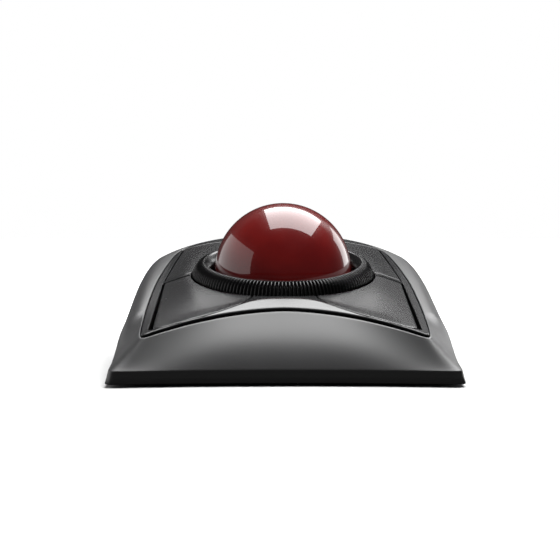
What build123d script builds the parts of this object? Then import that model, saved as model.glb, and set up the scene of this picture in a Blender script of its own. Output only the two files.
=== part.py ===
from build123d import *
from math import sin, cos, tan, pi, radians
import os

os.makedirs("parts", exist_ok=True)

# ---- driving dimensions, mm. Origin: middle of the footprint, on the desk; front faces -Y ----
BALL_R = 27.5
BALL_Z = 38.0
RING_TILT = 12.0          # the ring and the deck lean toward the user
FOOT_PROUD = 1.2          # the casing's underside stands this high on its feet
RIM_TOP = 6.0             # top of the casing's upright rim
WALL = 2.2
GAP = 0.5                 # line between buttons, bezel and ring
HALF_W = 65.0             # half width at the rim, front
TAPER = 5.2               # the casing is this much narrower each side at the rear
FRONT_MID, FRONT_CORNER = -71.2, -76.4
REAR_MID, REAR_CORNER = 75.3, 71.0

RING_TOP_R, RING_OUT_R, RING_IN_R = 31.8, 36.5, 28.7
WELL_R = RING_OUT_R + 0.6
RIBS = 140

BAR_Y = 3.4               # width of the bar between front and rear buttons
HINGE_Y = 4.6             # hinge pins stand this far in front of and behind the ball
PIN_R = 0.8
BASE_TOP = 3.4
BEZEL_THICK = 2.4
SWITCH_X, SWITCH_Y = 40.5, 27.0           # where a button presses its switch
BEZEL_POSTS = [(8.0, -48.5), (33.5, 60.3)]
CUP_R = 28.3
CUP_LEGS = [(-32.0, -8.0), (32.0, -8.0), (0.0, 32.0)]
BOARD_SCREWS = [(-23.0, -40.0), (23.0, -40.0), (-23.0, 12.0), (23.0, 12.0)]
SIDE_POSTS = [(39.0, -14.0), (39.0, 14.0)]
FEET = [(-52.0, -46.0), (52.0, -46.0), (-44.0, 62.0), (44.0, 62.0), (0.0, -60.0)]
DOOR_HINGE_Y = 38.6
RECEIVER = (41.5, 45.0)
SWITCH_SLOT = (-41.0, 48.0)
CONNECT = (-41.0, 32.0)
AA_R, AA_L = 7.25, 50.5
BATTERY_Y = 54.0
CASE_POSTS = [(48.0, -68.6), (56.5, 6.0), (38.0, 68.2)]     # mirrored left and right

DECK_TILT = 11.5          # the deck's slope
DECK_Z = 37.9             # height of the deck's middle beside the ball
RAIL_DROP = -4.6
DECK = Plane(origin=(0, 0, DECK_Z), x_dir=(1, 0, 0),
             z_dir=(0, -cos(radians(DECK_TILT)), -sin(radians(DECK_TILT))))
RING = Plane(origin=(0, 0, BALL_Z), x_dir=(1, 0, 0),
             z_dir=(0, -sin(radians(RING_TILT)), cos(radians(RING_TILT))))


# ---- the casing's form: three plain profiles crossed, each moved in by inset for inner skins ----
def rim_sketch(inset, z=FOOT_PROUD):
    """Plan: straight sides, hollow front edge, bowed rear edge, round corners."""
    wide = HALF_W - inset
    narrow = HALF_W - TAPER - inset
    with BuildSketch(Plane.XY.offset(z)) as rim:
        with BuildLine():
            front = ThreePointArc((-wide, FRONT_CORNER + inset), (0, FRONT_MID + inset),
                                  (wide, FRONT_CORNER + inset))
            rear = ThreePointArc((narrow, REAR_CORNER - inset), (0, REAR_MID - inset),
                                 (-narrow, REAR_CORNER - inset))
            Line(front @ 1, rear @ 0)
            Line(rear @ 1, front @ 0)
        make_face()
        fillet(rim.vertices().sort_by(Axis.Y)[:2], radius=max(7.0 - inset, 1.5))
        fillet(rim.vertices().sort_by(Axis.Y)[-2:], radius=max(20.0 - inset, 3.0))
    return rim.sketch


def side_sketch(inset):
    """Side view: bowed front face, sloping deck, rounded rear."""
    with BuildSketch(Plane.YZ) as side:
        with BuildLine():
            front = ThreePointArc((FRONT_CORNER - 0.9 + inset, RIM_TOP),
                                  (-67.0 + inset * 0.8, 20.0 - inset * 0.6),
                                  (-53.0 + inset * 0.3, plateau(-53.0) - 0.5 - inset))
            deck_line = Line(front @ 1, (62.0, plateau(62.0) - inset))
            rear = ThreePointArc(deck_line @ 1, (71.5 - inset * 0.7, 42.0 - inset * 0.7),
                                 (76.3 - inset, 12.0))
            Polyline(rear @ 1, (76.3 - inset, 0), (FRONT_CORNER - 0.9 + inset, 0), front @ 0)
        make_face()
    return side.sketch


def section_sketch(inset):
    """Section across the deck, seen along its slope: plateau, crease, rails, skirts."""
    with BuildSketch(DECK) as section:
        with BuildLine():
            shoulder = (56.0 - inset * 0.2, RAIL_DROP - 0.4 - inset)
            bend = (60.6 - inset * 0.8, -9.0 - inset * 0.6)
            skirt = (64.4 - inset, -19.0)
            hem = (HALF_W + 0.3 - inset, -46.0)
            right = Spline(shoulder, bend, skirt, hem)
            left = Spline(*[(-x, z) for x, z in (hem, skirt, bend, shoulder)])
            Polyline(right @ 1, (hem[0], -70), (-hem[0], -70), left @ 0)
            Polyline(left @ 1, (-48.4, RAIL_DROP - inset), (-40.0, -0.6 - inset))
            ThreePointArc((-40.0, -0.6 - inset), (0, -inset), (40.0, -0.6 - inset))
            Polyline((40.0, -0.6 - inset), (48.4, RAIL_DROP - inset), right @ 0)
        make_face()
    return section.sketch


def form(inset):
    """The whole casing as one solid."""
    with BuildPart() as solid:
        extrude(rim_sketch(inset), amount=60)
        extrude(side_sketch(inset), amount=70, both=True, mode=Mode.INTERSECT)
        extrude(section_sketch(inset), amount=90, both=True, mode=Mode.INTERSECT)
    return solid.part


def plateau(y):
    """Height of the deck's middle."""
    return DECK_Z + y * tan(radians(DECK_TILT))


def rail(y):
    """Height of the low rails beside the buttons."""
    return plateau(y) + RAIL_DROP / cos(radians(DECK_TILT))


def seam_half_width(y):
    return 50.9 - 0.075 * y - 0.0005 * y * y


def seam_front(x):
    return -52.75 - 13.0 * (x / 52.5) ** 2


def seam_rear(x):
    return 66.0 - 6.0 * (x / 50) ** 2


def save(piece, name):
    piece.label = name
    export_step(piece, f"parts/{name}.step")


def mirrored(piece):
    return mirror(piece, about=Plane.YZ, mode=Mode.PRIVATE)


# ---- outlines in plan ----
def seam_sketch(inset):
    """The bezel's outline: where the deck meets the casing."""
    with BuildSketch() as seam:
        with BuildLine():
            front = Spline(*[(x, seam_front(x) + inset) for x in (-50, -34, -17, 0, 17, 34, 50)])
            right = Spline(*[(seam_half_width(y) - inset, y) for y in (-62, -40, -15, 10, 35, 58)])
            rear = Spline(*[(x, seam_rear(x) - inset) for x in (40, 20, 0, -20, -40)])
            left = Spline(*[(inset - seam_half_width(y), y) for y in (58, 35, 10, -15, -40, -62)])
            Line(front @ 1, right @ 0)
            Line(right @ 1, rear @ 0)
            Line(rear @ 1, left @ 0)
            Line(left @ 1, front @ 0)
        make_face()
    return seam.sketch


def button_sketch(is_front, grow):
    """A right-hand button's outline: bar end, rail side, outer edge, slant to the ring."""
    start = BAR_Y / 2 + GAP - grow
    if is_front:
        corners = [(30, -start), (47.9 + grow, -start), (48.9 + grow, -25), (48.4 + grow, -54.4 - grow),
                   (31, -49.4 - grow), (15.5 - grow, -44.4 - grow), (12.0 - grow, -39.0), (12.0, -20)]
    else:
        corners = [(30, start), (47.6 + grow, start), (46.2 + grow, 25), (42.5 + grow, 55.0 + grow),
                   (28, 57.0 + grow), (15.5 - grow, 57.4 + grow), (12.0 - grow, 39.0), (12.0, 20)]
    with BuildSketch() as outline:
        with BuildLine():
            Polyline(*corners, close=True)
        make_face()
        fillet(outline.vertices().sort_by_distance(corners[3])[0], radius=2.0 + grow)
    return outline.sketch


# ---- casing: shell, bezel and buttons are cut from the same two skins ----
outer = form(0.0)
inner = form(WALL)
with BuildPart() as well:
    with BuildSketch(RING.offset(-12)):
        Circle(WELL_R)
    extrude(amount=50)

with BuildPart() as posts:
    with BuildSketch(Plane.XY.offset(BASE_TOP + 0.1)):
        with Locations(*[(sx * px, py) for sx in (-1, 1) for px, py in CASE_POSTS]):
            Circle(3.4)
    extrude(amount=60)
    add(form(WALL / 2), mode=Mode.INTERSECT)

with BuildPart() as outer_shell:
    add(outer)
    add(inner, mode=Mode.SUBTRACT)
    extrude(seam_sketch(-0.35), amount=80, mode=Mode.SUBTRACT)
    add(posts.part)
    with Locations(*[(sx * px, py, 0) for sx in (-1, 1) for px, py in CASE_POSTS]):
        Cylinder(1.3, 14, align=(Align.CENTER, Align.CENTER, Align.MIN), mode=Mode.SUBTRACT)
save(outer_shell.part, "outer_shell")

slab = form(BEZEL_THICK)


def pin_height(end):
    return rail(end * HINGE_Y) - 2.6


def hinge_bracket(side):
    """Lugs under the bar between two buttons: they hold the two hinge pins."""
    with BuildPart() as bracket:
        for end in (-1, 1):
            with Locations(*[(side * x, end * HINGE_Y, pin_height(end) - 2.0) for x in (39.4, 46.6)]):
                Box(1.2, 3.2, 6.4)
        with Locations((side * 43.0, 0, pin_height(-1) - 2.6)):
            Box(8.4, 2 * HINGE_Y + 3.2, 1.2)
        with Locations((side * 43.0, 0, pin_height(-1) + 0.6)):
            Box(3.0, 2.0, 7.0)
        for end in (-1, 1):
            with Locations(Location((side * 43.0, end * HINGE_Y, pin_height(end)), (0, 90, 0))):
                Cylinder(PIN_R + 0.03, 12, mode=Mode.SUBTRACT)
    return bracket.part


def bezel_post(x, y):
    """A post from the bezel's underside down to the base plate."""
    with BuildPart() as post:
        with Locations((x, y, BASE_TOP + 0.1)):
            Cylinder(2.0, plateau(y) - 1.2 - BASE_TOP, align=(Align.CENTER, Align.CENTER, Align.MIN))
            Cylinder(1.1, 12, align=(Align.CENTER, Align.CENTER, Align.MIN), mode=Mode.SUBTRACT)
    return post.part


with BuildPart() as deck_bezel:
    extrude(seam_sketch(0.0), amount=80)
    add(outer, mode=Mode.INTERSECT)
    add(slab, mode=Mode.SUBTRACT)
    for is_front in (True, False):
        hole = extrude(button_sketch(is_front, GAP), amount=80, mode=Mode.PRIVATE)
        add([hole, mirrored(hole)], mode=Mode.SUBTRACT)
    add(well.part, mode=Mode.SUBTRACT)
    for side in (-1, 1):
        add(hinge_bracket(side))
        for x, y in BEZEL_POSTS:
            add(bezel_post(side * x, y))
save(deck_bezel.part, "deck_bezel")


def button(is_front):
    """A right-hand button: a cap from the deck's skin, a hinge knuckle and a switch rib."""
    end = -1 if is_front else 1
    pin_z = pin_height(end)
    press_y = end * SWITCH_Y
    with BuildPart() as cap:
        extrude(button_sketch(is_front, 0), amount=80)
        add(outer, mode=Mode.INTERSECT)
        add(form(1.6), mode=Mode.SUBTRACT)
        add(well.part, mode=Mode.SUBTRACT)
        with Locations(Location((43.0, end * HINGE_Y, pin_z), (0, 90, 0))):
            Cylinder(1.6, 5.0)
        with Locations((43.0, end * (HINGE_Y + 0.4), pin_z + 1.6)):
            Box(5.0, 1.6, 3.6)
        with Locations(Location((43.0, end * HINGE_Y, pin_z), (0, 90, 0))):
            Cylinder(PIN_R + 0.05, 6.0, mode=Mode.SUBTRACT)
        with Locations((SWITCH_X, press_y, plateau(press_y) - 3.6)):
            Cylinder(1.5, 5.0)
    return cap.part


for is_front, name in ((True, "front"), (False, "rear")):
    cap = button(is_front)
    save(mirrored(cap), f"button_{name}_left")
    save(cap, f"button_{name}_right")

with BuildPart() as button_hinge_pins:
    for side in (-1, 1):
        for end in (-1, 1):
            with Locations(Location((side * 43.0, end * HINGE_Y, pin_height(end)), (0, 90, 0))):
                Cylinder(PIN_R, 8.0)
save(button_hinge_pins.part, "button_hinge_pins")


# ---- ball, cup and scroll ring ----
def ring_height(y, along):
    """Height of the plane that lies the distance along the ring's axis from the ball's middle."""
    return BALL_Z + (along + y * sin(radians(RING_TILT))) / cos(radians(RING_TILT))


def ring_washer(inner_r, outer_r, low, high):
    with BuildPart() as washer:
        with BuildSketch(RING.offset(low)):
            Circle(outer_r)
            if inner_r > 0:
                Circle(inner_r, mode=Mode.SUBTRACT)
        extrude(amount=high - low)
    return washer.part


def bearing_places():
    """Three places on the ball, low round the ring's axis, where it rests."""
    polar = radians(48)
    return [RING.from_local_coords((29.05 * sin(polar) * cos(a), 29.05 * sin(polar) * sin(a),
                                    -29.05 * cos(polar)))
            for a in (pi / 2, pi / 2 + 2 * pi / 3, pi / 2 + 4 * pi / 3)]


with BuildPart() as ball:
    with Locations((0, 0, BALL_Z)):
        Sphere(BALL_R)
save(ball.part, "ball")

with BuildPart() as ball_cup:
    with Locations((0, 0, BALL_Z)):
        Sphere(CUP_R + 2.0)
    add(ring_washer(0, 80, -6.0, 60), mode=Mode.SUBTRACT)
    add(ring_washer(29.0, 34.2, -7.0, -5.0))
    for x, y in CUP_LEGS:
        with Locations((x, y, BASE_TOP)):
            Cylinder(2.6, ring_height(y, -6.8) - BASE_TOP, align=(Align.CENTER, Align.CENTER, Align.MIN))
    with Locations((0, 0, BALL_Z)):
        Sphere(CUP_R, mode=Mode.SUBTRACT)
    with Locations(*bearing_places()):
        Sphere(1.58, mode=Mode.SUBTRACT)
    Cylinder(4.5, 12, align=(Align.CENTER, Align.CENTER, Align.MIN), mode=Mode.SUBTRACT)
    with Locations(*[(x, y, BASE_TOP) for x, y in CUP_LEGS]):
        Cylinder(1.1, 10, align=(Align.CENTER, Align.CENTER, Align.MIN), mode=Mode.SUBTRACT)
save(ball_cup.part, "ball_cup")

with BuildPart() as bearing_balls:
    with Locations(*bearing_places()):
        Sphere(1.5)
save(bearing_balls.part, "bearing_balls")

save(ring_washer(30.0, 34.2, -4.95, -2.95), "ring_guide")

with BuildPart() as scroll_ring:
    with BuildSketch(Plane(origin=RING.origin, x_dir=(1, 0, 0), z_dir=RING.y_dir * -1)) as profile:
        with BuildLine():
            under = Polyline((RING_IN_R, 2.2), (RING_IN_R, -2.8), (36.3, -2.8), (RING_OUT_R, 1.7))
            slope = Line(under @ 1, (34.7, 3.7))
            crest = ThreePointArc(slope @ 1, (33.5, 4.4), (RING_TOP_R, 4.5))
            ThreePointArc(crest @ 1, (29.9, 3.9), under @ 0)
        make_face()
    revolve(axis=Axis(RING.origin, RING.z_dir))
    with Locations(RING.offset(2.0).location):
        with PolarLocations(RING_OUT_R + 0.1, RIBS):
            Box(1.0, 0.7, 5.6, mode=Mode.SUBTRACT)
save(scroll_ring.part, "scroll_ring")

with BuildPart() as ring_encoder:
    add(ring_washer(34.7, 36.2, -5.8, -2.85))
    with Locations(RING.offset(-5.0).location):
        with PolarLocations(35.5, 48):
            Box(4.0, 1.6, 1.9, mode=Mode.SUBTRACT)
save(ring_encoder.part, "ring_encoder")


# ---- base plate and what opens under it ----
def box_at(x, y, z_low, width, depth, tall):
    """A plain block, given by its middle in plan and its lowest level."""
    with BuildPart() as block:
        with Locations((x, y, z_low)):
            Box(width, depth, tall, align=(Align.CENTER, Align.CENTER, Align.MIN))
    return block.part


def mirrored_places(places):
    return [(side * x, y) for side in (-1, 1) for x, y in places]


def side_board_height(y):
    """Underside of the switch boards, which lie parallel to the deck."""
    return DECK_Z - 14.2 / cos(radians(DECK_TILT)) + y * tan(radians(DECK_TILT))


SCREWS = mirrored_places(CASE_POSTS) + mirrored_places(BEZEL_POSTS) + CUP_LEGS
DOOR = (62.0, DOOR_HINGE_Y - 1.1, 70.0)

with BuildPart() as base_plate:
    add(form(WALL + 0.3))
    with Locations((0, 0, BASE_TOP)):
        Box(200, 200, 80, align=(Align.CENTER, Align.CENTER, Align.MIN), mode=Mode.SUBTRACT)
    with Locations(*[(x, y, BASE_TOP) for x, y in BOARD_SCREWS]):
        Cylinder(2.6, 0.8, align=(Align.CENTER, Align.CENTER, Align.MIN))
    for x, y in mirrored_places(SIDE_POSTS):
        with Locations((x, y, BASE_TOP)):
            Cylinder(2.0, side_board_height(y) - 0.5 - BASE_TOP,
                     align=(Align.CENTER, Align.CENTER, Align.MIN))
    with Locations((0, (DOOR[1] + DOOR[2]) / 2, 2.3)):
        Box(DOOR[0], DOOR[2] - DOOR[1], 6, mode=Mode.SUBTRACT)
    with Locations(Location((0, DOOR_HINGE_Y, 2.3), (0, 90, 0))):
        Cylinder(0.65, 68, mode=Mode.SUBTRACT)
    with Locations((RECEIVER[0], RECEIVER[1], 2.3)):
        Box(13.2, 19.2, 6, mode=Mode.SUBTRACT)
    with Locations((SWITCH_SLOT[0], SWITCH_SLOT[1], 2.3)):
        Box(4.4, 8.4, 6, mode=Mode.SUBTRACT)
    with Locations((CONNECT[0], CONNECT[1], 2.3)):
        Cylinder(2.1, 6, mode=Mode.SUBTRACT)
    for places in (BOARD_SCREWS, mirrored_places(SIDE_POSTS)):
        with Locations(*[(x, y, FOOT_PROUD + 0.6) for x, y in places]):
            Cylinder(0.95, 40, align=(Align.CENTER, Align.CENTER, Align.MIN), mode=Mode.SUBTRACT)
    with Locations(*[(x, y, FOOT_PROUD) for x, y in FEET]):
        Cylinder(5.2, 0.6, align=(Align.CENTER, Align.CENTER, Align.MIN), mode=Mode.SUBTRACT)
    with Locations(*[(x, y, FOOT_PROUD) for x, y in SCREWS]):
        Cylinder(2.5, 1.3, align=(Align.CENTER, Align.CENTER, Align.MIN), mode=Mode.SUBTRACT)
        Cylinder(1.2, 4, align=(Align.CENTER, Align.CENTER, Align.MIN), mode=Mode.SUBTRACT)
save(base_plate.part, "base_plate")

with BuildPart() as rubber_feet:
    with Locations(*[(x, y, 0) for x, y in FEET]):
        Cylinder(4.8, FOOT_PROUD + 0.6, align=(Align.CENTER, Align.CENTER, Align.MIN))
    fillet(rubber_feet.edges().group_by(Axis.Z)[0], radius=0.4)
save(rubber_feet.part, "rubber_feet")


def screws(places, head_z, head_r, shank_r, length, upward):
    """Pan-head screws with a cross recess; upward ones are driven in from below."""
    away = 1 if upward else -1
    with BuildPart() as group:
        for x, y in places:
            with Locations(Location((x, y, head_z), (0 if upward else 180, 0, 0))):
                Cylinder(head_r, 1.1, align=(Align.CENTER, Align.CENTER, Align.MIN))
                Cylinder(shank_r, length, align=(Align.CENTER, Align.CENTER, Align.MIN))
                Box(head_r * 1.3, 0.5, 1.2, mode=Mode.SUBTRACT)
                Box(0.5, head_r * 1.3, 1.2, mode=Mode.SUBTRACT)
    return group.part


save(screws(SCREWS, FOOT_PROUD + 0.15, 2.3, 1.0, 8.0, True), "case_screws")

with BuildPart() as battery_door:
    add(box_at(0, (DOOR_HINGE_Y + 69.6) / 2, 1.4, 61.2, 69.6 - DOOR_HINGE_Y, 1.8))
    with Locations(Location((0, DOOR_HINGE_Y, 2.3), (0, 90, 0))):
        Cylinder(0.9, 61.2)
        Cylinder(0.6, 66)
    with Locations(*[(0, 60 + 1.6 * i, 1.4) for i in range(5)]):
        Box(16, 0.7, 0.8, mode=Mode.SUBTRACT)
save(battery_door.part, "battery_door")

with BuildPart() as battery_box:
    add(box_at(0, BATTERY_Y, BASE_TOP, 62.0, 34.6, 16.6))
    add(box_at(0, BATTERY_Y, BASE_TOP - 1, 58.8, 31.6, 16.0), mode=Mode.SUBTRACT)
save(battery_box.part, "battery_box")


def battery(turned):
    """A dry cell lying across the casing, its button end to the left or the right."""
    way = -1 if turned else 1
    with BuildPart() as cell:
        with Locations(Location((0, BATTERY_Y - way * 7.7, 11.0), (0, 90, 0))):
            Cylinder(AA_R, AA_L - 1.2)
        chamfer(cell.edges().filter_by(GeomType.CIRCLE), length=0.6)
        with Locations(Location((way * (AA_L - 0.4) / 2, BATTERY_Y - way * 7.7, 11.0), (0, 90, 0))):
            Cylinder(2.7, 1.6)
    return cell.part


save(battery(False), "battery_front")
save(battery(True), "battery_rear")


def contact_spring(way):
    """A coil that presses on a cell's flat end."""
    start = (-28.4 if way > 0 else 25.5, BATTERY_Y - way * 7.7, 11.0)
    with BuildPart() as coil:
        with BuildLine():
            turns = Helix(pitch=0.9, height=2.9, radius=3.0, center=start, direction=(1, 0, 0))
        with BuildSketch(Plane(origin=turns @ 0, z_dir=turns % 0)):
            Circle(0.25)
        sweep()
    return coil.part


with BuildPart() as battery_springs:
    add([contact_spring(1), contact_spring(-1)])
save(battery_springs.part, "battery_springs")

with BuildPart() as battery_contacts:
    for way in (-1, 1):
        add(box_at(way * 29.15, BATTERY_Y - 7.7, 6.0, 0.4, 9.0, 9.0))
        add(box_at(way * 29.15, BATTERY_Y + 7.7, 6.0, 0.4, 9.0, 9.0))
        add(box_at(way * 27.4, BATTERY_Y - way * 7.7, 9.2, 3.1, 3.6, 3.6))
save(battery_contacts.part, "battery_contacts")

with BuildPart() as receiver:
    add(box_at(RECEIVER[0], RECEIVER[1] - 3.0, 1.5, 12.0, 12.0, 4.6))
    add(box_at(RECEIVER[0], RECEIVER[1] + 5.6, 1.9, 11.0, 6.4, 4.0))
    fillet(receiver.edges().filter_by(Axis.Z).group_by(Axis.Y)[0], radius=2.0)
save(receiver.part, "receiver")

with BuildPart() as receiver_socket:
    add(box_at(RECEIVER[0], RECEIVER[1], BASE_TOP, 15.6, 21.6, 5.0))
    add(box_at(RECEIVER[0], RECEIVER[1], BASE_TOP, 13.2, 19.2, 3.6), mode=Mode.SUBTRACT)
save(receiver_socket.part, "receiver_socket")

with BuildPart() as power_switch_knob:
    add(box_at(SWITCH_SLOT[0], SWITCH_SLOT[1] - 1.5, 0.9, 3.6, 4.0, 2.4))
    for i in (-1, 0, 1):
        with Locations((SWITCH_SLOT[0], SWITCH_SLOT[1] - 1.5 + i, 0.9)):
            Box(3.6, 0.4, 0.5, mode=Mode.SUBTRACT)
save(power_switch_knob.part, "power_switch_knob")
save(box_at(SWITCH_SLOT[0], SWITCH_SLOT[1], BASE_TOP, 8.0, 11.0, 4.0), "power_switch_body")

with BuildPart() as connect_button:
    with Locations((CONNECT[0], CONNECT[1], 1.0)):
        Cylinder(1.9, 2.4, align=(Align.CENTER, Align.CENTER, Align.MIN))
    fillet(connect_button.edges().group_by(Axis.Z)[0], radius=0.3)
save(connect_button.part, "connect_button")

with BuildPart() as connect_switch:
    add(box_at(CONNECT[0], CONNECT[1], BASE_TOP, 7.0, 7.0, 3.6))
    add(box_at(CONNECT[0], CONNECT[1], BASE_TOP - 1, 4.4, 4.4, 1.8), mode=Mode.SUBTRACT)
save(connect_switch.part, "connect_switch")


# ---- electronics ----
BOARD_Z = BASE_TOP + 0.8
BOARD_TOP = BOARD_Z + 1.2

with BuildPart() as main_board:
    add(box_at(0, -14.0, BOARD_Z, 54.0, 60.0, 1.2))
    with Locations(*[(x, y, BOARD_Z) for x, y in BOARD_SCREWS]):
        Cylinder(1.1, 5, mode=Mode.SUBTRACT)
save(main_board.part, "main_board")
save(screws(BOARD_SCREWS, BOARD_TOP + 1.1, 2.0, 0.9, 3.2, False), "board_screws")
save(box_at(0, -26.0, BOARD_TOP, 7.0, 7.0, 1.0), "controller_chip")
save(box_at(-17.0, -31.0, BOARD_TOP, 10.0, 13.0, 1.8), "radio_module")
save(box_at(0, 0, BOARD_TOP, 8.0, 9.6, 1.6), "optical_sensor")

with BuildPart() as sensor_lens:
    with Locations((0, 0, BOARD_TOP + 1.6)):
        Cylinder(3.6, 1.0, align=(Align.CENTER, Align.CENTER, Align.MIN))
        Cylinder(2.2, 2.2, align=(Align.CENTER, Align.CENTER, Align.MIN))
save(sensor_lens.part, "sensor_lens")

with BuildPart() as sensor_led:
    with Locations((9.0, 0, BOARD_TOP)):
        Cylinder(1.5, 1.8, align=(Align.CENTER, Align.CENTER, Align.MIN))
save(sensor_led.part, "sensor_led")

with BuildPart() as board_components:
    for i in range(6):
        add(box_at(10.0 + 2.4 * i, -24.0, BOARD_TOP, 1.2, 2.0, 0.8))
        add(box_at(10.0 + 2.4 * i, -34.0, BOARD_TOP, 1.2, 2.0, 0.8))
    for x in (-22.0, 22.0):
        with Locations((x, -10.0, BOARD_TOP)):
            Cylinder(2.0, 3.0, align=(Align.CENTER, Align.CENTER, Align.MIN))
save(board_components.part, "board_components")

save(box_at(0, -39.2, BOARD_TOP, 10.0, 1.2, 20.4), "ring_sensor_board")
save(box_at(0, -37.6, 23.4, 5.0, 2.0, 3.6), "ring_sensor")

SWITCHES = Plane(origin=(0, 0, DECK_Z), x_dir=(1, 0, 0),
                 z_dir=(0, -sin(radians(DECK_TILT)), cos(radians(DECK_TILT))))
SLOPE = 1 / cos(radians(DECK_TILT))


def side_board():
    with BuildPart() as board:
        with BuildSketch(SWITCHES.offset(-14.2)):
            with Locations((40.5, 0)):
                Rectangle(8.4, 74.0)
            with Locations(*[(x, y * SLOPE - 14.2 * tan(radians(DECK_TILT))) for x, y in SIDE_POSTS]):
                Circle(1.15, mode=Mode.SUBTRACT)
        extrude(amount=1.2)
    return board.part


def microswitch(end):
    """A small click switch; its plunger stands in a pocket in the top."""
    with BuildPart() as body:
        with BuildSketch(SWITCHES.offset(-13.0)):
            with Locations((SWITCH_X, end * SWITCH_Y * SLOPE)):
                Rectangle(5.8, 12.8)
        extrude(amount=6.0)
        with BuildSketch(SWITCHES.offset(-9.2)):
            with Locations((SWITCH_X, end * SWITCH_Y * SLOPE)):
                Rectangle(2.0, 2.0)
        extrude(amount=4.0, mode=Mode.SUBTRACT)
    return body.part


def plunger(end):
    with BuildPart() as stem:
        with BuildSketch(SWITCHES.offset(-8.2)):
            with Locations((SWITCH_X, end * SWITCH_Y * SLOPE)):
                Rectangle(1.6, 1.6)
        extrude(amount=1.8)
    return stem.part


for end, name in ((-1, "front"), (1, "rear")):
    for piece, kind in ((microswitch(end), "switch"), (plunger(end), "plunger")):
        save(mirrored(piece), f"{kind}_{name}_left")
        save(piece, f"{kind}_{name}_right")

board = side_board()
save(mirrored(board), "side_board_left")
save(board, "side_board_right")


def side_screws():
    with BuildPart() as group:
        for x, y in mirrored_places(SIDE_POSTS):
            with Locations(Location((x, y, side_board_height(y) + 2.3), (180, 0, 0))):
                Cylinder(1.6, 0.6, align=(Align.CENTER, Align.CENTER, Align.MIN))
                Cylinder(0.8, 4.0, align=(Align.CENTER, Align.CENTER, Align.MIN))
    return group.part


save(side_screws(), "side_board_screws")


def ribbon_cable():
    """A flat cable from the main board up to the switch board's underside."""
    top = side_board_height(-20.0) - 0.9
    with BuildPart() as strip:
        with BuildSketch(Plane.XZ.offset(16.0)):
            with BuildLine():
                Polyline((24.0, BOARD_TOP), (38.0, BOARD_TOP), (38.0, top), (37.6, top),
                         (37.6, BOARD_TOP + 0.4), (24.0, BOARD_TOP + 0.4), close=True)
            make_face()
        extrude(amount=8.0)
    return strip.part


cable = ribbon_cable()
save(mirrored(cable), "ribbon_cable_left")
save(cable, "ribbon_cable_right")
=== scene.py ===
from math import cos, pi, radians, sin

import bmesh
import bpy
import numpy as np
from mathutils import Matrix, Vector


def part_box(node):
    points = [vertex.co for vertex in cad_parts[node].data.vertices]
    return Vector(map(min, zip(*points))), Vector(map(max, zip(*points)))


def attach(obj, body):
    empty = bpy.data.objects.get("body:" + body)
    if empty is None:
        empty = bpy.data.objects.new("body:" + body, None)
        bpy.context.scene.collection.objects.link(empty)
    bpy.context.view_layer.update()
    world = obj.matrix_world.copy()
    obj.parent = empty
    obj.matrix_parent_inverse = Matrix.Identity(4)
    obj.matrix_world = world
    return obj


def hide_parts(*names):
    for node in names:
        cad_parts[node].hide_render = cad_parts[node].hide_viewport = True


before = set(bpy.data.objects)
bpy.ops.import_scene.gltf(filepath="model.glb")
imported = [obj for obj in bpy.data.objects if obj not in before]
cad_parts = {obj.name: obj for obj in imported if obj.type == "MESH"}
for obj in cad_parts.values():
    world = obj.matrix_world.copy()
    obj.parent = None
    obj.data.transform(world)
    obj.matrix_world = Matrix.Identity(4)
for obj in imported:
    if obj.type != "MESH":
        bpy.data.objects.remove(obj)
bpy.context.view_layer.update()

MM = 0.001

# ---- sizes in millimetres, taken from the frame where the frame has them ----
ball_low, ball_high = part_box("ball")
BALL_R = (ball_high[0] - ball_low[0]) / 2 / MM
BALL_Z = (ball_high[2] + ball_low[2]) / 2 / MM
shell_low, shell_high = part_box("outer_shell")
REAR = shell_high[1] / MM
FOOT = shell_low[2] / MM
RING_TILT = radians(12.0)                  # the ring and ball lean towards the user
WELL_R = 37.1                              # the round well that the ring sits in
GAP = 0.5                                  # clearance between a button and the bezel
MEET_X, MEET_Y = 12.3, 34.3                # where a button's slanted side meets the well
SLANT_FRONT_X, SLANT_REAR_X = 16.2, 15.3   # where that side ends, at a button's far edge
SEAM_FRONT, SEAM_BOW = 52.75, 13.0         # the seam's front edge: its middle, and its bow
SEAM_REAR = 66.0                           # the seam's rear edge in the middle


# ================= shapes =================
def smooth(t):
    """Smooth step: 0 below 0, 1 above 1, an S-curve between."""
    t = np.clip(t, 0.0, 1.0)
    return t * t * (3 - 2 * t)


def piece(name, points, body, closed_u=False, replaces=None, second=None):
    """A grid of points (rows u, columns v, in mm) made a smooth quad mesh that rides a body. The
    mask called second says which quads take the piece's second material."""
    rows, columns, _ = points.shape
    index = np.arange(rows * columns).reshape(rows, columns)
    if closed_u:
        index = np.vstack([index, index[:1]])
    quads = np.stack([index[:-1, :-1], index[1:, :-1], index[1:, 1:], index[:-1, 1:]], -1)
    quads = quads.reshape(-1, 4)
    mesh = bpy.data.meshes.new(name)
    mesh.from_pydata((points.reshape(-1, 3) * MM).tolist(), [], quads.tolist())
    mesh.update()
    mesh.polygons.foreach_set("use_smooth", np.ones(len(mesh.polygons), dtype=bool))
    if second is not None:
        mesh.polygons.foreach_set("material_index", second.astype(np.int32).ravel())
    obj = bpy.data.objects.new(name, mesh)
    bpy.context.scene.collection.objects.link(obj)
    if replaces:
        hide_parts(replaces)
    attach(obj, body)
    return obj


def tidy_mesh(obj, merge=0.00001):
    """Join the points that fall together at poles and corners, and turn the faces outwards."""
    work = bmesh.new()
    work.from_mesh(obj.data)
    bmesh.ops.remove_doubles(work, verts=work.verts, dist=merge)
    bmesh.ops.recalc_face_normals(work, faces=work.faces)
    work.to_mesh(obj.data)
    work.free()


def plateau(y):
    """Height of the deck's middle: a plane that slopes up to the rear."""
    return 37.7 + 0.2035 * y


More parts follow.
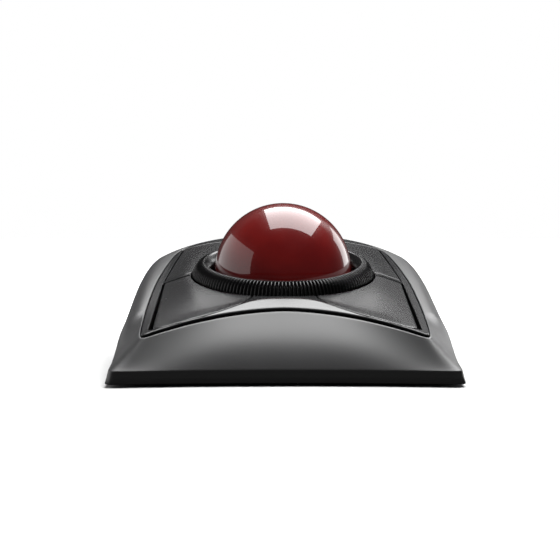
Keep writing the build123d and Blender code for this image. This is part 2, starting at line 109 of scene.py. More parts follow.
def rail(y):
    """Height of the low rails beside the buttons."""
    return 33.4 + 0.227 * y - 0.00018 * y * y - 0.0004 * np.maximum(y, 0) ** 2


def seam_front(x):
    """Where the seam's front edge runs, bowed back in the middle."""
    return -SEAM_FRONT - SEAM_BOW * (x / 52.5) ** 2


def steepened(x, y):
    """The y that a plain sloping deck is read at. In a strip behind the front seam it runs ahead of
    the true y, which makes the strip steeper; further behind it falls back. The effect is strongest
    in the middle and is gone at the two ends."""
    middle, inboard = 1 - smooth((np.abs(x) - 6) / 22), 1 - smooth((np.abs(x) - 34) / 10)
    ahead, strip, back = (1.3 + 6.2 * middle) * inboard, 1.9 + 5.6 * middle, 10.0
    behind = y - seam_front(x)
    lead = np.clip(behind / strip, 0, 1) * (1 - smooth((behind - strip) / back))
    return y + ahead * lead


def deck(x, y):
    """Deck height: a lightly crowned plateau that drops along a soft crease to the rails; near
    the front and the rear the drop spreads out over the whole half width."""
    across, y = np.abs(x), steepened(x, y)
    crease = 39.5 + 0.17 * np.minimum(y, 0) - 0.06 * np.maximum(y, 0)
    foot = 48.6 - 0.05 * np.maximum(y, 0)
    front = smooth((-y - 15) / 40)
    past = (across - crease) / (foot - crease)
    drop = (1 - front) * np.clip((past + np.sqrt(past * past + 0.03)) / 2.015, 0, 1)
    drop = drop + front * np.minimum(across / 52, 1) ** 1.6
    rear = smooth((y - 15) / 40)
    drop = drop * (1 - rear) + rear * np.minimum(across / foot, 1) ** 3
    crown = 0.9 * (across / 40) ** 2 * (1 - front) * (1 - rear)
    return (plateau(y) - crown) * (1 - drop) + rail(y) * drop


def squircle(turn, front_power, rear_power):
    """Unit rounded square by angle: r = (|cos|^n + |sin|^n)^(-1/n), with its own n front and rear."""
    c, s = np.cos(turn), np.sin(turn)
    n = np.where(s < 0, front_power, rear_power)
    r = (np.abs(c) ** n + np.abs(s) ** n) ** (-1 / n)
    return r * c, r * s


def rim_outline(turn, inset=0.0):
    """Rim in plan: hollow front edge, bowed rear edge, sides drawing in to the rear."""
    a, b = squircle(turn, 40, 9)
    front_y = b * (70.9 + 4.9 * np.abs(a) ** 2.2 - inset)
    rear_y = b * (REAR - inset - 1.8 * np.abs(a) ** 3)
    y = np.where(b < 0, front_y, rear_y)
    x = a * (64.65 - inset - 2.0 * (y + 75) / 150)
    return x, y


def seam_outline(turn, inset=0.0):
    """Seam round the bezel in plan: bowed front edge, sides drawing in to the rear."""
    a, b = squircle(turn, 40, 14)
    y = np.where(b < 0, b * (SEAM_FRONT + SEAM_BOW * a * a - inset), b * (SEAM_REAR - 6.0 * a * a - inset))
    x = a * (50.9 - np.where(y < 0, 0.055, 0.075) * y - 0.0005 * y * y - inset)
    return x, y


def at_bearing(outline, bearing, inset):
    """Where an outline is cut by rays from the middle at the given bearings, in radians."""
    turn = np.linspace(-1.2 * pi, 1.2 * pi, 9601)
    x, y = outline(turn, inset)
    seen = np.unwrap(np.arctan2(y, x))
    seen = seen - 2 * pi * np.round((seen[0] - turn[0]) / (2 * pi))
    return np.interp(bearing, seen, x), np.interp(bearing, seen, y)


def rounded_rise(t, power):
    """0 at the rim to 1 at the deck, a superellipse's quarter: steep first, then rounding over."""
    return (1 - (1 - t) ** power) ** (1 / power)


def bowed_rise(t, bow):
    """0 at the rim to 1 at the deck: steeper just above the rim, or flaring out if bow is negative."""
    return t * (1 - bow) + bow * (1 - (1 - t) ** 5)


RIM_TOP = 6.0                              # height of the upright rim round the foot
SEAM_GAP = 0.5                             # the seam between shell and bezel; its walls are painted black as shade
LEAN = 1.1                                 # the rim's top stands this far inside its foot


def front_step(s):
    """How far the shell's edge lies below the bezel: a deep step along the front, flush elsewhere."""
    return 0.12 + 1.0 * smooth((-s - 0.72) / 0.08)


def shell_points():
    """Columns run from under the foot up the rim, over the skirt between rim and seam, round the
    seam's lip and down inside it; rows go once round by bearing. The skirt rises as a superellipse
    at the sides and the rear, and as a bowed slope along the front."""
    bearing = np.linspace(-pi, pi, 1081)[:-1, None]
    s = np.sin(bearing)
    front = smooth((-s - 0.56) / 0.22)
    middle = smooth((-s - 0.78) / 0.20)
    rear = smooth((s - 0.70) / 0.20)
    power = (2.1 + 1.0 * smooth((s + 0.75) / 1.3)) * (1 - rear) + 2.2 * rear
    bow = -0.08 * (1 - middle) + 0.22 * middle
    t = np.linspace(0, 1, 42)[None, :] ** 1.5
    rx, ry = at_bearing(rim_outline, bearing, LEAN)
    sx, sy = at_bearing(seam_outline, bearing, -SEAM_GAP)
    top = deck(sx, sy) - front_step(s)
    x = rx + (sx - rx) * t
    y = ry + (sy - ry) * t
    rise = rounded_rise(t, power) * (1 - front) + bowed_rise(t, bow) * front
    z = RIM_TOP + (top - RIM_TOP) * rise
    skirt = np.stack([x, y, z], -1)
    hem = []
    for inset, height in ((4.0, FOOT + 0.6), (2.6, FOOT), (0.35, FOOT), (0.08, FOOT + 0.12),
                          (0.0, FOOT + 0.4), (LEAN * 0.5, FOOT + 2.4), (LEAN * 0.93, RIM_TOP - 0.3)):
        hx, hy = at_bearing(rim_outline, bearing, inset)
        hem.append(np.stack([hx, hy, np.full_like(hx, height)], -1))
    lip = []
    for inward, down in ((0.10, 0.04), (0.18, 0.16), (0.2, 0.4), (0.2, 3.4), (2.2, 3.8)):
        lx, ly = at_bearing(seam_outline, bearing, inward - SEAM_GAP)
        lip.append(np.stack([lx, ly, top - down], -1))
    return np.concatenate(hem + [skirt] + lip, axis=1)


def loop_normals(loop):
    """Unit vectors square to a closed loop that runs anticlockwise, pointing out of it."""
    step = np.roll(loop, -1, axis=0) - np.roll(loop, 1, axis=0)
    step = step / (np.linalg.norm(step, axis=1, keepdims=True) + 1e-9)
    return np.stack([step[:, 1], -step[:, 0]], -1)


def run(start, end, count):
    """Evenly spaced points along a straight run, without its last point."""
    t = np.linspace(0, 1, count + 1)[:-1, None]
    return np.array(start) * (1 - t) + np.array(end) * t


def sagging(start, end, count):
    """A run whose middle hangs forward of the straight line by FRONT_SAG, as a parabola."""
    points = run(start, end, count)
    t = np.linspace(0, 1, count + 1)[:-1]
    points[:, 1] -= FRONT_SAG * 4 * t * (1 - t)
    return points


def bend(before, corner, after, radius, count):
    """Points round a corner, a parabola between two places radius away from it."""
    before, corner, after = np.array(before), np.array(corner), np.array(after)
    a = corner + (before - corner) / np.linalg.norm(before - corner) * radius
    b = corner + (after - corner) / np.linalg.norm(after - corner) * radius
    t = np.linspace(0, 1, count + 1)[:-1, None]
    return a * (1 - t) ** 2 + 2 * corner * t * (1 - t) + b * t * t, a, b


def well_run(start, end, count):
    """Points along the edge of the ring's well, between two bearings in degrees."""
    angle = np.radians(np.linspace(start, end, count + 1)[:-1])
    return np.stack([WELL_R * np.cos(angle), WELL_R * np.sin(angle) * cos(RING_TILT)], -1)


FRONT_SAG = 2.1                            # how far the front buttons' front edges bow forward
BAR = 1.25                                 # half width of the bar between the buttons
MEET = np.degrees(np.arccos(MEET_X / WELL_R))  # bearing where a button's slant meets the ring


def bezel_loops():
    """The bezel's two edges, point for point, anticlockwise: inside along the openings, outside
    along the seam. The right half runs from the front middle to the rear middle; the left half
    is its mirror image."""
    side = MEET_X - GAP
    slant_front, rail_front = (SLANT_FRONT_X - GAP, -47.4 - GAP), (49.9, -61.2)
    slant_rear, rail_rear = (SLANT_REAR_X - GAP, 57.2 + GAP), (43.2, 55.6)
    bar_front, bar_rear = (48.3, -BAR), (48.1, BAR)
    tip_front, tip_rear = (37.0, -BAR), (37.0, BAR)
    bend_a, a0, a1 = bend((side, -MEET_Y), slant_front, rail_front, 1.2, 6)
    bend_b, b0, b1 = bend(slant_front, rail_front, bar_front, 2.4, 12)
    bend_c, c0, c1 = bend(rail_front, bar_front, tip_front, 0.8, 6)
    bend_d, d0, d1 = bend(tip_rear, bar_rear, rail_rear, 0.8, 6)
    bend_e, e0, e1 = bend(bar_rear, rail_rear, slant_rear, 2.4, 12)
    bend_f, f0, f1 = bend(rail_rear, slant_rear, (side, MEET_Y), 1.2, 6)
    legs = [
        (well_run(-90, -MEET - 0.8, 16), (0, -1), (0.22, -1)),
        (run((side, -MEET_Y), a0, 10), (0.22, -1), (0.27, -1)),
        (bend_a, (0.27, -1), (0.31, -1)),
        (sagging(a1, b0, 36), (0.31, -1), (0.93, -1)),
        (bend_b[:6], (0.93, -1), (1, -1)),
        (bend_b[6:], (1, -1), (1, -0.92)),
        (run(b1, c0, 50), (1, -0.92), (1, -0.045)),
        (bend_c, (1, -0.045), (1, -0.03)),
        (run(c1, tip_front, 12), (1, -0.03), (1, -0.02)),
        (well_run(-2.7, 2.7, 6), (1, -0.02), (1, 0.02)),
        (run(tip_rear, d0, 12), (1, 0.02), (1, 0.03)),
        (bend_d, (1, 0.03), (1, 0.045)),
        (run(d1, e0, 50), (1, 0.045), (1, 0.90)),
        (bend_e[:6], (1, 0.90), (1, 1)),
        (bend_e[6:], (1, 1), (0.92, 1)),
        (run(e1, f0, 36), (0.92, 1), (0.31, 1)),
        (bend_f, (0.31, 1), (0.27, 1)),
        (run(f1, (side, MEET_Y), 16), (0.27, 1), (0.22, 1)),
        (well_run(MEET + 0.8, 90, 16), (0.22, 1), (0, 1)),
    ]
    inner = np.concatenate([leg[0] for leg in legs])
    square = np.concatenate([run(leg[1], leg[2], len(leg[0])) for leg in legs])
    turn = np.arctan2(square[:, 1], square[:, 0])
    outer = np.stack(seam_outline(turn, 0.0), -1)
    front_gap = smooth((-outer[:, 1] - 50) / 6) * (1 - smooth((np.abs(outer[:, 0]) - 48) / 4))
    outer[:, 1] += 0.75 * front_gap
    last_inner = np.array([[0.0, WELL_R * cos(RING_TILT)]])
    last_outer = np.array([[0.0, SEAM_REAR]])
    half_inner, half_outer = np.concatenate([inner, last_inner]), np.concatenate([outer, last_outer])
    other = slice(-2, 0, -1)
    mirror = np.array([-1.0, 1.0])
    return (np.concatenate([half_inner, half_inner[other] * mirror]),
            np.concatenate([half_outer, half_outer[other] * mirror]))


def rounded_edge(radius, steps=4):
    """A quarter round as (how far in from the edge, how far down) pairs, from the wall to the top."""
    angle = np.linspace(0, pi / 2, steps + 1)
    return [(radius * (1 - cos(a)), radius * (1 - sin(a))) for a in angle]


def bezel_points():
    """Columns climb the wall of an opening, round its edge, cross the deck to the seam, round the
    edge there and go down; rows go once round."""
    inner_edge, outer_edge = 0.35, 0.45
    inner, outer = bezel_loops()
    out_in, out_out = loop_normals(inner), loop_normals(outer)
    columns = [np.concatenate([inner, (deck(*inner.T) - 3.0)[:, None]], 1)]
    for inward, down in rounded_edge(inner_edge):
        plan = inner + out_in * inward
        columns.append(np.concatenate([plan, (deck(*plan.T) - down)[:, None]], 1))
    first, last = inner + out_in * inner_edge, outer - out_out * outer_edge
    for t in np.linspace(0, 1, 22)[1:-1]:
        plan = first * (1 - t) + last * t
        columns.append(np.concatenate([plan, deck(*plan.T)[:, None]], 1))
    for inward, down in rounded_edge(outer_edge)[::-1]:
        plan = outer - out_out * inward
        columns.append(np.concatenate([plan, (deck(*plan.T) - down)[:, None]], 1))
    columns.append(np.concatenate([outer, (deck(*outer.T) - 3.0)[:, None]], 1))
    return np.stack(columns, 1)


def along(path, u):
    """Points at fractions u of a polyline's length."""
    length = np.concatenate([[0], np.cumsum(np.linalg.norm(np.diff(path, axis=0), axis=1))])
    at = u * length[-1]
    return np.stack([np.interp(at, length, path[:, 0]), np.interp(at, length, path[:, 1])], -1)


CAP_EDGE = 0.4                             # radius of a button's rounded edge


def button_points(is_front):
    """Rows run from the bar end to the outer end, columns from the ring side to the rail side.
    The edges are quarter rounds with a wall below; the outer rail-side corner is rounded by
    mapping a square corner onto a circle."""
    if is_front:
        far_end = (SLANT_FRONT_X, -47.0)
        ring_side = np.concatenate([well_run(-3.4, -MEET, 40), run((MEET_X, -MEET_Y), far_end, 14),
                                    [far_end]])
        rail_side = np.concatenate([run((47.4, -2.2), (48.3, -60.3), 10), [(48.3, -60.3)]])
    else:
        far_end = (SLANT_REAR_X, 56.8)
        ring_side = np.concatenate([well_run(3.4, MEET, 40), run((MEET_X, MEET_Y), far_end, 20), [far_end]])
        rail_side = np.concatenate([run((47.5, 2.2), (42.6, 54.6), 10), [(42.6, 54.6)]])
    edge = rounded_edge(CAP_EDGE)
    inset = np.array([0.0] + [e[0] for e in edge])
    down = np.array([2.6] + [e[1] for e in edge])
    long, wide = 53.0, 26.0
    fill_u, fill_v = (np.linspace(CAP_EDGE, end - CAP_EDGE, count)[1:-1]
                      for end, count in ((long, 62), (wide, 42)))
    du = np.concatenate([inset, fill_u, long - inset[::-1]])
    dv = np.concatenate([inset, fill_v, wide - inset[::-1]])
    drop_u = np.concatenate([down, fill_u * 0, down[::-1]])
    drop_v = np.concatenate([down, fill_v * 0, down[::-1]])
    u, v = np.meshgrid(du, dv, indexing="ij")
    radius = 2.6
    p = np.maximum(radius - (long - u), 0)
    q = np.maximum(radius - (wide - v), 0)
    both = (p > 0) & (q > 0)
    scale = np.where(both, np.maximum(p, q) / np.maximum(np.hypot(p, q), 1e-9), 1.0)
    u = np.where(both, long - radius + p * scale, u)
    v = np.where(both, wide - radius + q * scale, v)
    near, far = along(ring_side, (u / long).ravel()), along(rail_side, (u / long).ravel())
    t = (v / wide).reshape(-1, 1)
    plan = near * (1 - t) + far * t
    if is_front:
        plan[:, 1] -= FRONT_SAG * 4 * t[:, 0] * (1 - t[:, 0]) * smooth(u.ravel() / long * 2 - 1)
    z = deck(plan[:, 0], plan[:, 1]).reshape(u.shape)
    z = z - np.maximum(drop_u[:, None], drop_v[None, :])
    return np.dstack([plan[:, 0].reshape(u.shape), plan[:, 1].reshape(u.shape), z])


def to_ring(r, turn, h):
    """Ring coordinates (radius, turn, height along its axis) to the frame's x, y, z."""
    x, along_y = r * np.cos(turn), r * np.sin(turn)
    y = along_y * cos(RING_TILT) - h * sin(RING_TILT)
    z = BALL_Z + along_y * sin(RING_TILT) + h * cos(RING_TILT)
    return np.stack(np.broadcast_arrays(x, y, z), -1)


RIBS = 150                                 # ribs round the scroll ring
RIB_DEEP = 1.4                             # depth of the grooves between them
RIB_SLOPE = 0.75                           # share of that depth taken inwards, and again downwards
RIB_STEPS = 12                             # points round the ring to each rib


def ring_points():
    """A turned profile: up the smooth inner flank, over a narrow crest and down the rounded outer shoulder.
    On the shoulder, rounded ribs
    stand out as a clipped cosine wave round the ring."""
    turn = (np.arange(RIBS * RIB_STEPS) / (RIBS * RIB_STEPS) * 2 * pi)[:, None]
    profile = np.array([(28.8, -2.6), (28.7, 0.2), (28.8, 1.0), (29.2, 1.9), (29.8, 2.75), (30.5, 3.5),
                        (31.0, 3.98), (31.3, 4.22), (31.6, 4.34), (31.9, 4.36), (32.3, 4.3), (32.9, 4.12),
                        (33.6, 3.78), (34.3, 3.3), (35.0, 2.65), (35.6, 1.85), (36.05, 0.95), (36.35, 0.0),
                        (36.5, -1.2), (36.5, -2.6), (30.0, -2.75)])
    ribbed = np.array([0, 0, 0, 0, 0, 0, 0, 0, 0, 0, 0.35, 0.8, 1, 1, 1, 1, 1, 1, 1, 1, 0])
    r, h, ribbed = profile[:, 0][None, :], profile[:, 1][None, :], ribbed[None, :]
    land = smooth((np.cos(turn * RIBS) + 0.7) / 1.5)
    groove = ribbed * RIB_DEEP * (1 - land)
    return to_ring(r - groove * RIB_SLOPE, turn, h - groove * RIB_SLOPE * (h > -1))


def ball_points():
    """A sphere by longitude and latitude about the ring's axis."""
    turn = np.linspace(0, 2 * pi, 193)[:-1, None]
    rise_angle = np.linspace(-pi / 2, pi / 2, 97)[None, :]
    return to_ring(BALL_R * np.cos(rise_angle), turn, BALL_R * np.sin(rise_angle))


# ================= materials =================
def material(name):
    """A new node material; returns it with its tree and its Principled shader."""
    made = bpy.data.materials.new(name)
    made.use_nodes = True
    tree = made.node_tree
    return made, tree, tree.nodes["Principled BSDF"]


def node(tree, kind, **inputs):
    """Add a node and set the inputs that are plain values."""
    made = tree.nodes.new(kind)
    for key, value in inputs.items():
        made.inputs[key.replace("_", " ")].default_value = value
    return made


def object_coordinates(tree):
    """The Object coordinates, through a Mapping node."""
    place = tree.nodes.new("ShaderNodeTexCoord")
    mapping = tree.nodes.new("ShaderNodeMapping")
    tree.links.new(place.outputs["Object"], mapping.inputs["Vector"])
    return mapping.outputs["Vector"]


def grain_group():
    """Shared moulded-plastic finish: slightly mottled colour, mottled roughness and a fine bump."""
    group = bpy.data.node_groups.new("moulded_grain", "ShaderNodeTree")
    face = group.interface
    face.new_socket("Dark", in_out="INPUT", socket_type="NodeSocketColor")
    face.new_socket("Light", in_out="INPUT", socket_type="NodeSocketColor")
    face.new_socket("Rough Low", in_out="INPUT", socket_type="NodeSocketFloat")
    face.new_socket("Rough High", in_out="INPUT", socket_type="NodeSocketFloat")
    face.new_socket("Grain Scale", in_out="INPUT", socket_type="NodeSocketFloat")
    face.new_socket("Grain Height", in_out="INPUT", socket_type="NodeSocketFloat")
    face.new_socket("Color", in_out="OUTPUT", socket_type="NodeSocketColor")
    face.new_socket("Roughness", in_out="OUTPUT", socket_type="NodeSocketFloat")
    face.new_socket("Normal", in_out="OUTPUT", socket_type="NodeSocketVector")
    given = group.nodes.new("NodeGroupInput")
    result = group.nodes.new("NodeGroupOutput")
    where = object_coordinates(group)
    mottle = node(group, "ShaderNodeTexNoise", Scale=90.0, Detail=3.0)
    fine = node(group, "ShaderNodeTexNoise", Detail=2.0)
    mix = group.nodes.new("ShaderNodeMix")
    mix.data_type = "RGBA"
    rough = group.nodes.new("ShaderNodeMapRange")
    bump = node(group, "ShaderNodeBump", Distance=0.0001)
    link = group.links.new
    link(where, mottle.inputs["Vector"])
    link(where, fine.inputs["Vector"])
    link(given.outputs["Grain Scale"], fine.inputs["Scale"])
    link(mottle.outputs["Fac"], mix.inputs["Factor"])
    link(given.outputs["Dark"], mix.inputs["A"])
    link(given.outputs["Light"], mix.inputs["B"])
    link(mottle.outputs["Fac"], rough.inputs["Value"])
    link(given.outputs["Rough Low"], rough.inputs["To Min"])
    link(given.outputs["Rough High"], rough.inputs["To Max"])
    link(fine.outputs["Fac"], bump.inputs["Height"])
    link(given.outputs["Grain Height"], bump.inputs["Strength"])
    link(mix.outputs["Result"], result.inputs["Color"])
    link(rough.outputs["Result"], result.inputs["Roughness"])
    link(bump.outputs["Normal"], result.inputs["Normal"])
    return group


GRAIN = grain_group()


def moulded(name, dark, light, rough, grain_scale=2200.0, grain_height=0.25, metallic=0.0, coat=0.0,
            specular=0.5):
    """A moulded or painted plastic made from the shared grain group."""
    made, tree, shader = material(name)
    group = tree.nodes.new("ShaderNodeGroup")
    group.node_tree = GRAIN
    group.inputs["Dark"].default_value = (*dark, 1)
    group.inputs["Light"].default_value = (*light, 1)
    group.inputs["Rough Low"].default_value, group.inputs["Rough High"].default_value = rough
    group.inputs["Grain Scale"].default_value = grain_scale
    group.inputs["Grain Height"].default_value = grain_height
    tree.links.new(group.outputs["Color"], shader.inputs["Base Color"])
    tree.links.new(group.outputs["Roughness"], shader.inputs["Roughness"])
    tree.links.new(group.outputs["Normal"], shader.inputs["Normal"])
    shader.inputs["Metallic"].default_value = metallic
    shader.inputs["Coat Weight"].default_value = coat
    shader.inputs["Specular IOR Level"].default_value = specular
    return made


def paint_rim_shade(made, low, high):
    """Paint shade onto a finish: near black below a height, in metres, by multiplying its colour by a ramp.
    """
    tree = made.node_tree
    split = tree.nodes.new("ShaderNodeSeparateXYZ")
    tree.links.new(object_coordinates(tree), split.inputs["Vector"])
    ramp = node(tree, "ShaderNodeMapRange", From_Min=low, From_Max=high, To_Min=0.06)
    tree.links.new(split.outputs["Z"], ramp.inputs["Value"])
    mix = tree.nodes.new("ShaderNodeMix")
    mix.data_type = "RGBA"
    mix.inputs["A"].default_value = (0.001, 0.001, 0.001, 1)
    socket = tree.nodes["Principled BSDF"].inputs["Base Color"]
    tree.links.new(socket.links[0].from_socket, mix.inputs["B"])
    tree.links.new(ramp.outputs["Result"], mix.inputs["Factor"])
    tree.links.new(mix.outputs["Result"], socket)


def grey(value):
    """A neutral colour with a trace more blue."""
    return (value, value, value * 1.04)


shell_satin = moulded("shell_satin", grey(0.022), grey(0.026), (0.42, 0.46), 2600, 0.12,
                      specular=0.95)
bezel_gloss = moulded("bezel_gloss", grey(0.017), grey(0.019), (0.22, 0.24), 5200, 0.005,
                      specular=0.45)
button_gloss = moulded("button_gloss", grey(0.013), grey(0.015), (0.26, 0.28), 5200, 0.004)
# painted shade: the shell's upright rim is the same satin plastic, darkened near black below about 6 mm as
# shade
paint_rim_shade(shell_satin, 0.0058, 0.0066)
ring_black = moulded("ring_black", grey(0.002), grey(0.004), (0.16, 0.22), 3000, 0.05)
# painted shade: a near-black, almost unreflecting finish for the walls of gaps and seams, standing in for
# the shade inside them
painted_gap_shade = moulded("painted_gap_shade", grey(0.001), grey(0.002), (0.7, 0.8), 1800, 0.3, specular=0.05)
base_black = moulded("base_black", grey(0.012), grey(0.02), (0.5, 0.6), 1800, 0.5)
inner_black = moulded("inner_black", grey(0.015), grey(0.025), (0.45, 0.55), 1600, 0.4)
foot_rubber = moulded("foot_rubber", grey(0.02), grey(0.03), (0.75, 0.85), 1400, 0.6)
nylon_white = moulded("nylon_white", (0.72, 0.72, 0.68), (0.8, 0.8, 0.76), (0.35, 0.45), 1500, 0.2)
ceramic_white = moulded("ceramic_white", (0.8, 0.8, 0.78), (0.86, 0.86, 0.84), (0.08, 0.12), 1500, 0.05)
chip_black = moulded("chip_black", grey(0.02), grey(0.03), (0.4, 0.5), 2000, 0.3)
cable_grey = moulded("cable_grey", (0.4, 0.41, 0.43), (0.5, 0.51, 0.53), (0.4, 0.5), 1500, 0.2)
board_green = moulded("board_green", (0.01, 0.10, 0.04), (0.02, 0.16, 0.07), (0.25, 0.35), 900, 0.3)
steel = moulded("steel", (0.5, 0.5, 0.5), (0.62, 0.62, 0.62), (0.25, 0.4), 3000, 0.2, metallic=1.0)
cell_jacket = moulded("cell_jacket", (0.05, 0.06, 0.08), (0.09, 0.1, 0.12), (0.2, 0.3), 900, 0.05, coat=0.6)
lens_clear = moulded("lens_clear", (0.85, 0.86, 0.88), (0.9, 0.9, 0.92), (0.03, 0.06), 900, 0.02)


def ball_material():
    """Polished cast resin: deep red, clouded slightly inside, under a clear hard coat."""
    made, tree, shader = material("ball_red")
    cloud = node(tree, "ShaderNodeTexNoise", Scale=38.0, Detail=4.0)
    ramp = tree.nodes.new("ShaderNodeValToRGB")
    ramp.color_ramp.elements[0].position = 0.35
    ramp.color_ramp.elements[0].color = (0.085, 0.0015, 0.0020, 1)
    ramp.color_ramp.elements[1].position = 0.7
    ramp.color_ramp.elements[1].color = (0.14, 0.0040, 0.0030, 1)
    tree.links.new(object_coordinates(tree), cloud.inputs["Vector"])
    tree.links.new(cloud.outputs["Fac"], ramp.inputs["Fac"])
    tree.links.new(ramp.outputs["Color"], shader.inputs["Base Color"])
    rough = tree.nodes.new("ShaderNodeMapRange")
    rough.inputs["To Min"].default_value = 0.25
    rough.inputs["To Max"].default_value = 0.35
    tree.links.new(cloud.outputs["Fac"], rough.inputs["Value"])
    tree.links.new(rough.outputs["Result"], shader.inputs["Roughness"])
    shader.inputs["Specular IOR Level"].default_value = 0.1
    shader.inputs["Coat Weight"].default_value = 1.0
    shader.inputs["Coat Roughness"].default_value = 0.012
    shader.inputs["Coat IOR"].default_value = 1.55
    return made


ball_red = ball_material()

NODE_MATERIALS = {
    "base_plate": base_black, "battery_door": base_black, "power_switch_knob": base_black,
    "connect_button": base_black, "rubber_feet": foot_rubber, "case_screws": steel,
    "board_screws": steel, "side_board_screws": steel, "button_hinge_pins": steel,
    "battery_springs": steel, "battery_contacts": steel, "radio_module": steel,
    "battery_front": cell_jacket, "battery_rear": cell_jacket, "bearing_balls": ceramic_white,
    "ring_guide": inner_black, "ring_encoder": ring_black, "ball_cup": inner_black,
    "battery_box": inner_black, "receiver_socket": inner_black, "receiver": inner_black,
    "main_board": board_green, "side_board_left": chip_black, "side_board_right": chip_black,
    "ring_sensor_board": board_green, "ribbon_cable_left": cable_grey,
    "ribbon_cable_right": cable_grey, "sensor_lens": lens_clear, "sensor_led": lens_clear,
}


def finish_cad_nodes():
    """Give every CAD node its own procedural finish: plungers are white nylon, and electronics that
    aren't listed are chip black."""
    for name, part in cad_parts.items():
        kind = nylon_white if name.startswith("plunger") else chip_black
        part.data.materials.clear()
        part.data.materials.append(NODE_MATERIALS.get(name, kind))


# ================= the visible casing =================
def shown(name, points, body, look, node_name, closed_u=True, second=None):
    """A visible piece in its finish; the quads under the mask second are painted near black as shade in the
    gaps.
    """
    obj = piece(name, points, body, closed_u=closed_u, replaces=node_name, second=second)
    obj.data.materials.append(look)
    obj.data.materials.append(painted_gap_shade)
    tidy_mesh(obj)
    return obj


def wall_columns(points, first, last):
    """Mask of a closed grid's quads: the first and last few columns, which are its walls and take the
    painted gap shade.
    """
    mask = np.zeros((points.shape[0], points.shape[1] - 1), dtype=bool)
    mask[:, :first] = True
    if last:
        mask[:, -last:] = True
    return mask


def wall_rim(points):
    """Mask of an open grid's quads: the outermost ring, which is the wall below the edge and takes the
    painted gap shade.
    """
    mask = np.zeros((points.shape[0] - 1, points.shape[1] - 1), dtype=bool)
    mask[[0, -1], :] = True
    mask[:, [0, -1]] = True
    return mask


finish_cad_nodes()
shell = shell_points()
bezel = bezel_points()
# the walls of the gaps and seams take the painted gap shade as their second material
shown("shell_skin", shell, "root", shell_satin, "outer_shell",
      second=wall_columns(shell, 0, 3))
shown("bezel_skin", bezel, "root", bezel_gloss, "deck_bezel",
      second=wall_columns(bezel, 1, 1))
for is_front, end in ((True, "front"), (False, "rear")):
    points = button_points(is_front)
    left = (points * np.array([-1.0, 1.0, 1.0]))[:, ::-1]
    for side, grid in (("right", points), ("left", left)):
        shown(f"{end}_{side}_cap", grid, f"{end}_{side}_button_body", button_gloss,
              f"button_{end}_{side}", closed_u=False, second=wall_rim(grid))
shown("ribbed_ring", ring_points(), "ring_body", ring_black, "scroll_ring")
shown("red_ball", ball_points(), "ball_body", ball_red, "ball")


# ================= stage, light and camera =================
def mix_by_camera_ray(tree, seen, unseen):
    """A Mix node that gives one value to what the camera sees and another to reflections."""
    path = tree.nodes.new("ShaderNodeLightPath")
    mix = tree.nodes.new("ShaderNodeMix")
    mix.data_type = "RGBA"
    mix.inputs["A"].default_value = unseen
    mix.inputs["B"].default_value = seen
    tree.links.new(path.outputs["Is Camera Ray"], mix.inputs["Factor"])
    return mix


def floor():
    """A large pale sheet under the feet. It throws back little light, like a floor under black
    flags, and glows towards its edges so that no horizon shows."""
    mesh = bpy.data.meshes.new("floor")
    reach = 2.0
    mesh.from_pydata([(-reach, -reach, 0), (reach, -reach, 0), (reach, reach, 0), (-reach, reach, 0)], [],
                     [(0, 1, 2, 3)])
    obj = bpy.data.objects.new("floor", mesh)
    bpy.context.scene.collection.objects.link(obj)
    made, tree, shader = material("floor_pale")
    shader.inputs["Roughness"].default_value = 0.9
    shader.inputs["Specular IOR Level"].default_value = 0.0
    tint = mix_by_camera_ray(tree, (0.62, 0.62, 0.62, 1), (0.04, 0.04, 0.04, 1))
    tree.links.new(tint.outputs["Result"], shader.inputs["Base Color"])
    distance = tree.nodes.new("ShaderNodeVectorMath")
    distance.operation = "LENGTH"
    tree.links.new(object_coordinates(tree), distance.inputs[0])
    fade = tree.nodes.new("ShaderNodeMapRange")
    fade.interpolation_type = "SMOOTHSTEP"
    fade.inputs["From Min"].default_value = 0.09
    fade.inputs["From Max"].default_value = 0.26
    tree.links.new(distance.outputs["Value"], fade.inputs["Value"])
    glow = mix_by_camera_ray(tree, (1, 1, 1, 1), (0, 0, 0, 1))
    tree.links.new(glow.outputs["Result"], shader.inputs["Emission Color"])
    tree.links.new(fade.outputs["Result"], shader.inputs["Emission Strength"])
    mesh.materials.append(made)


def softbox(name, place, aim, size, power):
    """A rectangular area light at a place, turned to face a point; all in metres."""
    light = bpy.data.lights.new(name, "AREA")
    light.shape = "RECTANGLE"
    light.size, light.size_y = size
    light.energy = power
    obj = bpy.data.objects.new(name, light)
    obj.location = place
    obj.rotation_euler = (Vector(aim) - Vector(place)).to_track_quat("-Z", "Y").to_euler()
    bpy.context.scene.collection.objects.link(obj)
    return obj


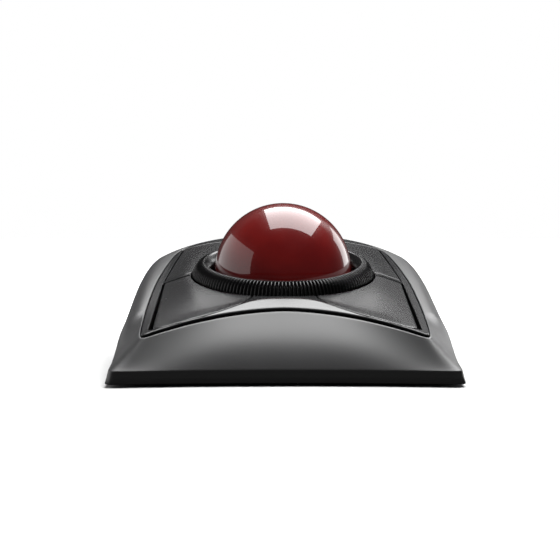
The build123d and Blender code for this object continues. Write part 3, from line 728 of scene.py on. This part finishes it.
def world_light(front, rear_low, rear_high, left, right):
    """White where the camera looks past the object. For light and reflections it is a room that is
    dark on the user's side and, behind the object, brighter with height, given as grey levels. It
    falls off from just right of the middle to the shares left and right on the two sides."""
    world = bpy.data.worlds.new("studio")
    world.use_nodes = True
    tree = world.node_tree
    place = tree.nodes.new("ShaderNodeTexCoord")
    split = tree.nodes.new("ShaderNodeSeparateXYZ")
    shade = tree.nodes.new("ShaderNodeMapRange")
    shade.interpolation_type = "SMOOTHSTEP"
    height = tree.nodes.new("ShaderNodeMapRange")
    height.interpolation_type = "SMOOTHSTEP"
    for socket, value in (("From Min", 0.25), ("From Max", 0.75),
                          ("To Min", rear_low), ("To Max", rear_high)):
        height.inputs[socket].default_value = value
    for socket, value in (("From Min", 0.45), ("From Max", 0.65), ("To Min", front)):
        shade.inputs[socket].default_value = value
    tree.links.new(place.outputs["Generated"], split.inputs["Vector"])
    tree.links.new(split.outputs["Y"], shade.inputs["Value"])
    tree.links.new(split.outputs["Z"], height.inputs["Value"])
    share = height.outputs["Result"]
    for start, end, low in ((0.36, 0.50, left), (0.72, 0.55, right)):
        side = tree.nodes.new("ShaderNodeMapRange")
        side.interpolation_type = "SMOOTHSTEP"
        for socket, value in (("From Min", start), ("From Max", end),
                              ("To Min", low), ("To Max", 1.0)):
            side.inputs[socket].default_value = value
        times = tree.nodes.new("ShaderNodeMath")
        times.operation = "MULTIPLY"
        tree.links.new(split.outputs["X"], side.inputs["Value"])
        tree.links.new(side.outputs["Result"], times.inputs[0])
        tree.links.new(share, times.inputs[1])
        share = times.outputs["Value"]
    tree.links.new(share, shade.inputs["To Max"])
    mix = mix_by_camera_ray(tree, (1, 1, 1, 1), (0, 0, 0, 1))
    tree.links.new(shade.outputs["Result"], mix.inputs["A"])
    tree.links.new(mix.outputs["Result"], tree.nodes["Background"].inputs["Color"])
    bpy.context.scene.world = world


def camera(azimuth, elevation, distance, target, focal):
    """A camera that looks at the target from an azimuth and elevation in degrees."""
    a, e = radians(azimuth), radians(elevation)
    back = Vector((sin(a) * cos(e), -cos(a) * cos(e), sin(e)))
    data = bpy.data.cameras.new("camera")
    data.lens = focal
    data.sensor_width = 36.0
    obj = bpy.data.objects.new("camera", data)
    obj.location = Vector(target) + back * distance
    obj.rotation_euler = (-back).to_track_quat("-Z", "Y").to_euler()
    bpy.context.scene.collection.objects.link(obj)
    bpy.context.scene.camera = obj


floor()
world_light(0.07, 0.40, 1.35, 0.10, 0.40)
softbox("overhead", (0.17, 0.33, 0.72), (0.17, 0.31, 0.0), (0.76, 0.94), 15.0)
softbox("left_panel", (-0.75, 0.25, 0.25), (0, 0.25, 0.25), (1.5, 0.60), 3.2)
softbox("right_panel", (0.75, 0.75, 0.25), (0, 0.1, 0.1), (0.45, 0.6), 2.4)
softbox("front_fill", (0.25, -0.50, 0.75), (0, -0.05, 0.02), (0.5, 0.5), 6.0).visible_glossy = False
camera(-0.65, 3.0, 0.604, (-0.0012, 0, 0.0345), 96.3)
bpy.context.scene.view_settings.view_transform = "Standard"
